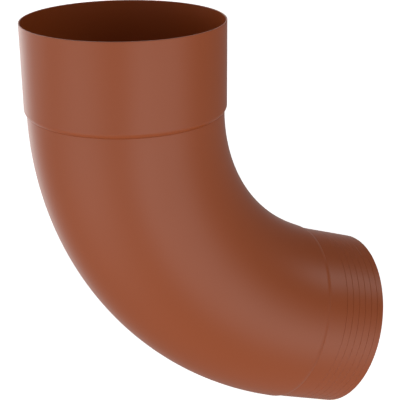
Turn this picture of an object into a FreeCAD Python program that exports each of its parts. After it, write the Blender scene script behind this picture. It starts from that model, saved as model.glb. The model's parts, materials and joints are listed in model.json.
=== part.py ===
import FreeCAD, Part
import math
import os

# A downspout elbow for a round downpipe: one drawn and bent tube of coated sheet. Its top end is
# expanded into a socket that takes the pipe above. Its lower end is drawn in to a spigot, rolled
# with fine grooves, that drops into the pipe below.
#
# The origin is the centre of the socket's mouth, and +Z runs up the socket's axis, out of the mouth.
# The tube bends towards +X, and the XZ plane mirrors it.
# Lengths are in millimetres and angles in degrees.

# The downpipe that the elbow joins, and the sheet that both are made of
PIPE_DIAMETER = 100.0
SHEET = 0.7

# The socket: its gap around the pipe, its depth from mouth to crease, and the shoulder that takes
# its foot in to the crease, which slopes in over its height and is rounded at its top
SOCKET_CLEARANCE = 0.3
SOCKET_DEPTH = 45.6
SHOULDER_HEIGHT = 1.8
SHOULDER_RADIUS = 3.0

# The bend: how much slimmer than the pipe it is, so that the pipe stops on the crease, its turn
# and the radius of its centre line
BODY_UNDERSIZE = 0.5
BEND_ANGLE = 72.0
BEND_RADIUS = 140.0

# The spigot: its gap inside the next pipe, and its stretches from the bend to the rim. A short
# cone steps it in. The tube is bent before its end is drawn in, so the neck still follows the
# curve. Straight plain wall comes next, and then the grooves.
SPIGOT_CLEARANCE = 0.25
STEP_LENGTH = 1.75
NECK_LENGTH = 7.5
PLAIN_LENGTH = 3.25

# The grooves rolled round the spigot, evenly spaced from its rim
GROOVE_COUNT = 6
GROOVE_PITCH = 4.0
GROOVE_WIDTH = 0.8
GROOVE_DEPTH = 0.12

# Outer radii of the three stretches of tube
SOCKET_RADIUS = PIPE_DIAMETER / 2 + SOCKET_CLEARANCE + SHEET
BODY_RADIUS = (PIPE_DIAMETER - BODY_UNDERSIZE) / 2
SPIGOT_RADIUS = PIPE_DIAMETER / 2 - SHEET - SPIGOT_CLEARANCE

# Turns of the neck and of the bend above it, and the spigot's straight length
NECK_ANGLE = math.degrees(NECK_LENGTH / BEND_RADIUS)
BODY_ANGLE = BEND_ANGLE - NECK_ANGLE
STRAIGHT_LENGTH = PLAIN_LENGTH + GROOVE_COUNT * GROOVE_PITCH

# Each stretch of wall is made hanging down from the origin, where the tube's axis is the Z axis. The
# bend turns about a line beside it.
START = FreeCAD.Vector(0, 0, 0)
UP = FreeCAD.Vector(0, 0, 1)
BEND_CENTRE = FreeCAD.Vector(BEND_RADIUS, 0, 0)
BEND_AXIS = FreeCAD.Vector(0, -1, 0)


def at(radius, height):
    """A point of a wall's section: its distance from the tube's axis and its height."""
    return FreeCAD.Vector(radius, 0, height)


def line(*points):
    """The straight edges of a section through some points."""
    return [Part.LineSegment(a, b).toShape() for a, b in zip(points, points[1:])]


def spun(edges):
    """A ring of wall turned about the tube's axis from the closed outline of its section."""
    return Part.Face(Part.Wire(edges)).revolve(START, UP, 360)


def socket_wall():
    """The socket, from its mouth to the crease. Its shoulder is rounded outside and a cone inside."""
    slope = math.atan2(SOCKET_RADIUS - BODY_RADIUS, SHOULDER_HEIGHT)
    corner = SHOULDER_HEIGHT - SOCKET_DEPTH
    centre = at(SOCKET_RADIUS - SHOULDER_RADIUS, corner + SHOULDER_RADIUS * math.tan(slope / 2))
    bow = [centre + at(math.cos(a), -math.sin(a)) * SHOULDER_RADIUS for a in (0, slope / 2, slope)]
    crease = [at(BODY_RADIUS, -SOCKET_DEPTH), at(BODY_RADIUS - SHEET, -SOCKET_DEPTH)]
    inner_corner = at(SOCKET_RADIUS - SHEET, corner + SHEET * math.tan(slope / 2))
    mouth = [at(SOCKET_RADIUS - SHEET, 0), at(SOCKET_RADIUS, 0)]
    return spun([Part.Arc(*bow).toShape()] + line(bow[-1], *crease, inner_corner, *mouth, bow[0]))


def bent_wall(radius, angle):
    """A stretch of the bend: the ring of the wall carried round the bend's axis."""
    ring = Part.Face(Part.Wire(Part.makeCircle(radius, START, UP)))
    ring = ring.cut(Part.Face(Part.Wire(Part.makeCircle(radius - SHEET, START, UP))))
    return ring.revolve(BEND_CENTRE, BEND_AXIS, angle)


def step_wall():
    """The cone that takes the bend in to the spigot."""
    above = [at(BODY_RADIUS - SHEET, 0), at(BODY_RADIUS, 0)]
    below = [at(SPIGOT_RADIUS, -STEP_LENGTH), at(SPIGOT_RADIUS - SHEET, -STEP_LENGTH)]
    return spun(line(*above, *below, above[0]))


def spigot_wall():
    """The straight part of the spigot, with its grooves from the neck down to the rim."""
    bore = SPIGOT_RADIUS - SHEET
    outer = [at(SPIGOT_RADIUS, 0)]
    for place in range(GROOVE_COUNT, 0, -1):
        middle = place * GROOVE_PITCH - STRAIGHT_LENGTH
        outer.append(at(SPIGOT_RADIUS, middle + GROOVE_WIDTH / 2))
        outer.append(at(SPIGOT_RADIUS - GROOVE_DEPTH, middle))
        outer.append(at(SPIGOT_RADIUS, middle - GROOVE_WIDTH / 2))
    rim = [at(SPIGOT_RADIUS, -STRAIGHT_LENGTH), at(bore, -STRAIGHT_LENGTH)]
    return spun(line(*outer, *rim, at(bore, 0), outer[0]))


def straight_on(length):
    """The move from the start of a straight stretch to its end."""
    return FreeCAD.Placement(FreeCAD.Vector(0, 0, -length), FreeCAD.Rotation())


def round_the_bend(angle):
    """The move from the start of a bent stretch to its end."""
    return FreeCAD.Placement(START, FreeCAD.Rotation(BEND_AXIS, angle), BEND_CENTRE)


def downspout_elbow():
    """The whole elbow: each stretch of wall starts where the one before it ends."""
    stretches = [
        (socket_wall(), straight_on(SOCKET_DEPTH)),
        (bent_wall(BODY_RADIUS, BODY_ANGLE), round_the_bend(BODY_ANGLE)),
        (step_wall(), straight_on(STEP_LENGTH)),
        (bent_wall(SPIGOT_RADIUS, NECK_ANGLE), round_the_bend(NECK_ANGLE)),
        (spigot_wall(), straight_on(STRAIGHT_LENGTH)),
    ]
    place = FreeCAD.Placement()
    walls = []
    for wall, onward in stretches:
        wall.Placement = place.multiply(wall.Placement)
        walls.append(wall)
        place = place.multiply(onward)
    return walls[0].multiFuse(walls[1:]).removeSplitter().Solids[0]


os.makedirs("parts", exist_ok=True)
downspout_elbow().exportStep("parts/downspout_elbow.step")
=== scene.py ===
import json
import math

import bpy
import numpy as np
from mathutils import Matrix, Vector


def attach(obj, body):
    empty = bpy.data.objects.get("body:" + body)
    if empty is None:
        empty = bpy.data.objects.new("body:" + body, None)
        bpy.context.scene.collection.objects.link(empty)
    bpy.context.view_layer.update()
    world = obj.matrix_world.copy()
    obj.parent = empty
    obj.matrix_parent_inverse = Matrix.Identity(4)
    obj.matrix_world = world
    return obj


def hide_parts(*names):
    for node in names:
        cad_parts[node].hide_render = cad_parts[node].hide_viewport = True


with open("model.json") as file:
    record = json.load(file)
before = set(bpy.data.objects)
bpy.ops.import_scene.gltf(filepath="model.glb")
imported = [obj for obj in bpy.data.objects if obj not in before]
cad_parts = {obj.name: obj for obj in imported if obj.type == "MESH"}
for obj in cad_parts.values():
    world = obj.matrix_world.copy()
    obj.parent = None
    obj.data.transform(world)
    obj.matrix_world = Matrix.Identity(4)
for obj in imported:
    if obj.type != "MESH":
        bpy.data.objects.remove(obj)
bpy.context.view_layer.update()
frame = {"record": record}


# The elbow
# One length of round tube, rolled and seamed from thin coated sheet steel and bent cold. Its top
# end is expanded into a socket for the pipe above, and its outlet is drawn in to a spigot and
# rolled with fine grooves. It hangs from the pipe in its socket.

SHEET = 0.0007
SOCKET_DEPTH = 0.0456
BEND_RADIUS = 0.140
STEP_LENGTH = 0.00175
NECK_LENGTH = 0.0075

mounts = {mount["name"]: mount["dims"] | mount for mount in frame["record"]["mounts"]}
socket_radius = mounts["socket"]["r_mm"] / 1000 + SHEET
spigot_radius = mounts["spigot"]["r_mm"] / 1000
spigot_length = mounts["spigot"]["length_mm"] / 1000
outlet_x, _, outlet_z = mounts["spigot"]["axis"]
bend_angle = math.atan2(outlet_x, -outlet_z)
neck_turn = NECK_LENGTH / BEND_RADIUS
bend_length = bend_angle * BEND_RADIUS - NECK_LENGTH
body_radius = spigot_radius + SHEET  # the end is drawn in by one thickness of the sheet

# The stretches of the tube's axis from the mouth on, each with its length and its curvature
STRETCHES = (
    (SOCKET_DEPTH, 0),
    (bend_length, 1 / BEND_RADIUS),
    (STEP_LENGTH, 0),
    (NECK_LENGTH, 1 / BEND_RADIUS),
    (spigot_length, 0),
)


def tube_axis(along):
    """The axis at distances along it from the mouth: x, z and the heading, which is 0 straight down.

    A stretch of curvature k adds k times the distance run in it to the heading. It moves the point
    by (cos a - cos b) / k in x and by (sin a - sin b) / k in z, where the heading goes from a to b.
    """
    x, z, heading = np.zeros_like(along), np.zeros_like(along), np.zeros_like(along)
    start, turned = 0, 0
    for length, curvature in STRETCHES:
        run = np.clip(along - start, 0, length)
        if curvature:
            turn = curvature * run
            x += (math.cos(turned) - np.cos(turned + turn)) / curvature
            z += (math.sin(turned) - np.sin(turned + turn)) / curvature
            heading += turn
        else:
            x += run * math.sin(turned)
            z -= run * math.cos(turned)
        start, turned = start + length, turned + curvature * length
    return x, z, heading


def lean(along, heading):
    """How far a ring leans over from the axis's own section, towards the section of the spigot.

    The end is drawn in after the bending, square to the spigot, and it reaches on to the curve. So
    the step and the neck lean by what the heading there lacks of the outlet's. The rings before the
    step ease over to that by 3 u^2 - 2 u^3 of it, where u runs from 0 to 1 along the LEAN_LENGTH.
    """
    share = np.clip((along - step_start) / LEAN_LENGTH + 1, 0, 1)
    return share**2 * (3 - 2 * share) * np.minimum(bend_angle - heading, neck_turn)


def rounded(corners, bow=1.5e-6):
    """The line through corners (place along the axis, distance from it, rounding radius).

    At each corner an arc of that radius touches both lines: it starts radius x tan(turn / 2) before
    the corner, and its points lie at equal turns about the centre that both tangents share, as many
    as keep it within the bow of its chords.
    """
    points = [np.array(corners[0][:2])]
    for before, (*corner, radius), after in zip(corners, corners[1:], corners[2:]):
        corner = np.array(corner)
        onto, off = corner - before[:2], after[:2] - corner
        onto, off = onto / np.linalg.norm(onto), off / np.linalg.norm(off)
        turn = math.atan2(onto[0] * off[1] - onto[1] * off[0], onto @ off)
        side = math.copysign(radius, turn) * np.array((-onto[1], onto[0]))
        centre = corner - onto * radius * math.tan(abs(turn) / 2) + side
        count = math.ceil(abs(turn) / (2 * math.acos(1 - bow / radius)))
        for angle in np.linspace(0, turn, count + 1):
            c, s = math.cos(angle), math.sin(angle)
            points.append(centre - (side[0] * c - side[1] * s, side[0] * s + side[1] * c))
    return np.array(points + [np.array(corners[-1][:2])])


def spaced(profile, edge=0.0001, long_run=0.0006, turn_a_row=0.0125):
    """The profile with more points: one close to each end of its long runs, so that shading stays
    true beside the roundings, and evenly spaced ones wherever the tube's axis turns."""
    points = []
    for here, there in zip(profile, np.roll(profile, -1, axis=0)):
        length = np.linalg.norm(there - here)
        turn = np.ptp(tube_axis(np.array((here[0], there[0])))[2])
        margin = edge / length if length > long_run else 0
        inner = np.linspace(margin, 1 - margin, 2 + int(turn / turn_a_row)) if margin else ()
        shares = np.unique(np.concatenate(((0,), inner)))
        points.append(here + np.outer(shares, there - here))
    return np.concatenate(points)


def tube_wall(profile, columns):
    """The closed wall: point (place s, radius r) of the profile at the angle p round the axis lies
    at axis(s) + r (cos p side + sin p y), where side is square to the heading and lean at s."""
    x, z, heading = tube_axis(profile[:, 0])
    heading += lean(profile[:, 0], heading)
    x, z, heading = x[:, None], z[:, None], heading[:, None]
    angle = np.arange(columns) * math.tau / columns
    sideways = profile[:, 1:] * np.cos(angle)
    points = np.stack((
        x + sideways * np.cos(heading),
        profile[:, 1:] * np.sin(angle),
        z + sideways * np.sin(heading),
    ), axis=-1)
    number = np.arange(points.size // 3).reshape(points.shape[:2])
    following = np.roll(number, -1, axis=0)
    faces = np.stack(
        (number, following, np.roll(following, -1, axis=1), np.roll(number, -1, axis=1)), axis=-1
    )
    return points.reshape(-1, 3), faces.reshape(-1, 4)


# The forms of the drawn sheet and their roundings: the socket's shoulder, the notch that drawing
# leaves at its crease, the step, the rims, and the grooves with the ridges that they raise inside.
# The roundings are those of the outer wall, apart from the ridges' and the crease's inner one.
SHOULDER_HEIGHT = 0.0018
SHOULDER_ROUNDING = 0.003
INNER_CREASE_ROUNDING = 0.0011
NOTCH_WIDTH = 0.0003
NOTCH_DEPTH = 0.00018
NOTCH_ROUNDING = 0.00005
STEP_SLOPE = math.radians(25)
STEP_ROUNDING = 0.0067
FOOT_ROUNDING = 0.0007
LEAN_LENGTH = 0.015
RIM_ROUNDING = 0.00022
GROOVE_COUNT = 6
GROOVE_PITCH = 0.004
GROOVE_WIDTH = 0.00028
GROOVE_DEPTH = 0.0002
GROOVE_ROUNDING = 0.00005
RIDGE_WIDTH = 0.0011
RIDGE_DEPTH = 0.00012
RIDGE_ROUNDING = 0.0006
COLUMNS = 200

step_start = SOCKET_DEPTH + bend_length
step_end = step_start + STEP_LENGTH
rim = sum(length for length, _ in STRETCHES)
groove_places = rim - GROOVE_PITCH * np.arange(GROOVE_COUNT, 0, -1)


def rings(radius, width, depth, rounding):
    """The corners of the evenly spaced V shapes that rolling presses into a wall of that radius."""
    return [
        corner
        for place in groove_places
        for corner in (
            (place - width / 2, radius, rounding),
            (place, radius - depth, rounding),
            (place + width / 2, radius, rounding),
        )
    ]


# The inner wall lies a sheet's thickness inside the outer one, so a slope's corners shift by that
# thickness times the tangent of half its turn.
shoulder_slope = math.atan2(socket_radius - body_radius, SHOULDER_HEIGHT)
shoulder = SOCKET_DEPTH - SHOULDER_HEIGHT
shoulder_shift = SHEET * math.tan(shoulder_slope / 2)
notch_start = SOCKET_DEPTH - NOTCH_WIDTH
step = step_end - (body_radius - spigot_radius) / math.tan(STEP_SLOPE)
step_shift = SHEET * math.tan(STEP_SLOPE / 2)
outer_wall = [
    (0, socket_radius, RIM_ROUNDING),
    (shoulder, socket_radius, SHOULDER_ROUNDING),
    (notch_start, body_radius + NOTCH_WIDTH * math.tan(shoulder_slope), NOTCH_ROUNDING),
    (notch_start + NOTCH_WIDTH / 2, body_radius - NOTCH_DEPTH, NOTCH_ROUNDING),
    (SOCKET_DEPTH, body_radius, NOTCH_ROUNDING),
    (step, body_radius, STEP_ROUNDING),
    (step_end, spigot_radius, FOOT_ROUNDING),
    *rings(spigot_radius, GROOVE_WIDTH, GROOVE_DEPTH, GROOVE_ROUNDING),
    (rim, spigot_radius, RIM_ROUNDING),
]
inner_wall = [
    (0, socket_radius - SHEET, RIM_ROUNDING),
    (shoulder - shoulder_shift, socket_radius - SHEET, SHOULDER_ROUNDING - SHEET),
    (SOCKET_DEPTH - shoulder_shift, body_radius - SHEET, INNER_CREASE_ROUNDING),
    (step - step_shift, body_radius - SHEET, STEP_ROUNDING - SHEET),
    (step_end - step_shift, spigot_radius - SHEET, FOOT_ROUNDING + SHEET),
    *rings(spigot_radius - SHEET, RIDGE_WIDTH, RIDGE_DEPTH, RIDGE_ROUNDING),
    (rim, spigot_radius - SHEET, RIM_ROUNDING),
]
mouth_edge = (0, socket_radius - SHEET / 2)
profile = spaced(rounded([mouth_edge, *outer_wall, *reversed(inner_wall), mouth_edge])[:-1])
points, faces = tube_wall(profile, COLUMNS)
mesh = bpy.data.meshes.new("downspout_elbow_wall")
mesh.from_pydata(points, [], faces)
mesh.shade_smooth()
elbow = bpy.data.objects.new("downspout_elbow_wall", mesh)
bpy.context.scene.collection.objects.link(elbow)
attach(elbow, "root")
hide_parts("downspout_elbow")


# The coat is baked on to the sheet before it is rolled: a smooth copper-brown paint with a satin
# gloss, inside and out. Its skin has a very fine orange peel, and its tone and gloss drift a little
# over the tube.
COAT_TONES = ((0.298, 0.0627, 0.0139, 1), (0.316, 0.0665, 0.0147, 1))
COAT_ROUGHNESS = (0.28, 0.34)
COAT_IOR = 1.4
DRIFT_SCALE = 14
GLOSS_SCALE = 45
PEEL_SCALE = 700
PEEL_DEPTH = 0.000004
coat = bpy.data.materials.new("satin_copper_brown_coat")
coat.use_nodes = True
nodes, links = coat.node_tree.nodes, coat.node_tree.links
shader = nodes["Principled BSDF"]
shader.inputs["IOR"].default_value = COAT_IOR
place = nodes.new("ShaderNodeTexCoord").outputs["Object"]


def coat_noise(scale, detail):
    """Soft noise through the tube, about 1 / scale metres from one lump to the next."""
    noise = nodes.new("ShaderNodeTexNoise")
    noise.inputs["Scale"].default_value = scale
    noise.inputs["Detail"].default_value = detail
    links.new(place, noise.inputs["Vector"])
    return noise.outputs["Fac"]


drift = nodes.new("ShaderNodeMix")
drift.data_type = "RGBA"
drift.inputs["A"].default_value, drift.inputs["B"].default_value = COAT_TONES
links.new(coat_noise(DRIFT_SCALE, detail=2), drift.inputs["Factor"])
links.new(drift.outputs["Result"], shader.inputs["Base Color"])
gloss = nodes.new("ShaderNodeMapRange")
gloss.inputs["To Min"].default_value, gloss.inputs["To Max"].default_value = COAT_ROUGHNESS
links.new(coat_noise(GLOSS_SCALE, detail=3), gloss.inputs["Value"])
links.new(gloss.outputs["Result"], shader.inputs["Roughness"])
peel = nodes.new("ShaderNodeBump")
peel.inputs["Distance"].default_value = PEEL_DEPTH
links.new(coat_noise(PEEL_SCALE, detail=1), peel.inputs["Height"])
links.new(peel.outputs["Normal"], shader.inputs["Normal"])
elbow.data.materials.append(coat)


# The studio
# The elbow hangs in a white tent over a floor of pale paper. Soft lights shine through the tent's
# walls, most of them low down, and two narrower ones and a faint one higher up.
FLOOR_LEVEL = -0.30
FLOOR_HALF_SIDE = 6.0
PAPER_TONE = (0.9, 0.9, 0.9, 1)
PAPER_GLOW = 0.6
WHITE = (1, 1, 1, 1)
floor_mesh = bpy.data.meshes.new("floor")
floor_corners = np.array(((-1, -1, 0), (1, -1, 0), (1, 1, 0), (-1, 1, 0))) * FLOOR_HALF_SIDE
floor_mesh.from_pydata(floor_corners + (0, 0, FLOOR_LEVEL), [], [(0, 1, 2, 3)])
floor = bpy.data.objects.new("floor", floor_mesh)
bpy.context.scene.collection.objects.link(floor)
# Only the camera sees the floor: it neither lights the elbow nor mirrors in it.
floor.visible_diffuse = floor.visible_glossy = floor.visible_shadow = False
paper = bpy.data.materials.new("pale_paper")
paper.use_nodes = True
paper_shader = paper.node_tree.nodes["Principled BSDF"]
paper_shader.inputs["Base Color"].default_value = PAPER_TONE
paper_shader.inputs["Emission Color"].default_value = WHITE
paper_shader.inputs["Emission Strength"].default_value = PAPER_GLOW
floor.data.materials.append(paper)

# Each light: where it stands round the elbow, counted from +X towards +Y, and how high, both in
# degrees, then its brightness and its sharpness
TENT_LIGHTS = {
    "front": (270, -21, 1.94, 22),
    "left": (204, -19, 1.86, 5),
    "left_back": (151, 4, 4.0, 55),
    "back": (104, -1, 2.1, 6.5),
    "right": (303, -18, 1.48, 14),
    "right_top": (342, 35, 2.35, 45),
    "top": (84, 52, 3.7, 40),
    "overhead": (0, 80, 0.7, 8),
    "low": (320, -42, 0.51, 1.5),
}
tent = bpy.data.worlds.new("studio_tent")
tent.use_nodes = True
nodes, links = tent.node_tree.nodes, tent.node_tree.links
view_direction = nodes.new("ShaderNodeTexCoord").outputs["Generated"]


def arithmetic(operation, *values):
    """One step of arithmetic on sockets or plain numbers."""
    step = nodes.new("ShaderNodeMath")
    step.operation = operation
    for socket, value in zip(step.inputs, values):
        if isinstance(value, bpy.types.NodeSocket):
            links.new(value, socket)
        else:
            socket.default_value = value
    return step.outputs[0]


glow = 0
for name, (azimuth, height, brightness, sharpness) in TENT_LIGHTS.items():
    # Its glow is brightness x exp(sharpness x (cosine of the angle from the light's middle - 1)).
    facing = nodes.new("ShaderNodeVectorMath")
    facing.label = name
    facing.operation = "DOT_PRODUCT"
    links.new(view_direction, facing.inputs[0])
    turn, rise = math.radians(azimuth), math.radians(height)
    middle = (math.cos(rise) * math.cos(turn), math.cos(rise) * math.sin(turn), math.sin(rise))
    facing.inputs[1].default_value = middle
    least = math.log(brightness) - sharpness
    power = arithmetic("MULTIPLY_ADD", facing.outputs["Value"], sharpness, least)
    glow = arithmetic("ADD", arithmetic("EXPONENT", power), glow)

# Seen directly, the tent is plain white.
seen = nodes.new("ShaderNodeLightPath").outputs["Is Camera Ray"]
links.new(arithmetic("MAXIMUM", glow, seen), nodes["Background"].inputs["Strength"])
nodes["Background"].inputs["Color"].default_value = WHITE
bpy.context.scene.world = tent


# The camera
# It looks down on the elbow from the front and a little from the left, from about half a metre. Its
# turns are in degrees, and its lens and sensor in millimetres.
YAW = -20.988
PITCH = 21.392
ROLL = -0.335
DISTANCE = 0.5573
TARGET = Vector((0.04062, 0.00242, -0.10195))
LENS = 92.79
SENSOR_WIDTH = 36
camera_data = bpy.data.cameras.new("camera")
camera_data.lens = LENS
camera_data.sensor_width = SENSOR_WIDTH
camera = bpy.data.objects.new("camera", camera_data)
bpy.context.scene.collection.objects.link(camera)
turned = (
    Matrix.Rotation(math.radians(YAW), 4, "Z")
    @ Matrix.Rotation(math.radians(90 - PITCH), 4, "X")
    @ Matrix.Rotation(math.radians(ROLL), 4, "Z")
)
camera.matrix_world = Matrix.Translation(TARGET) @ turned @ Matrix.Translation((0, 0, DISTANCE))
bpy.context.scene.camera = camera
bpy.context.scene.view_settings.view_transform = "Standard"
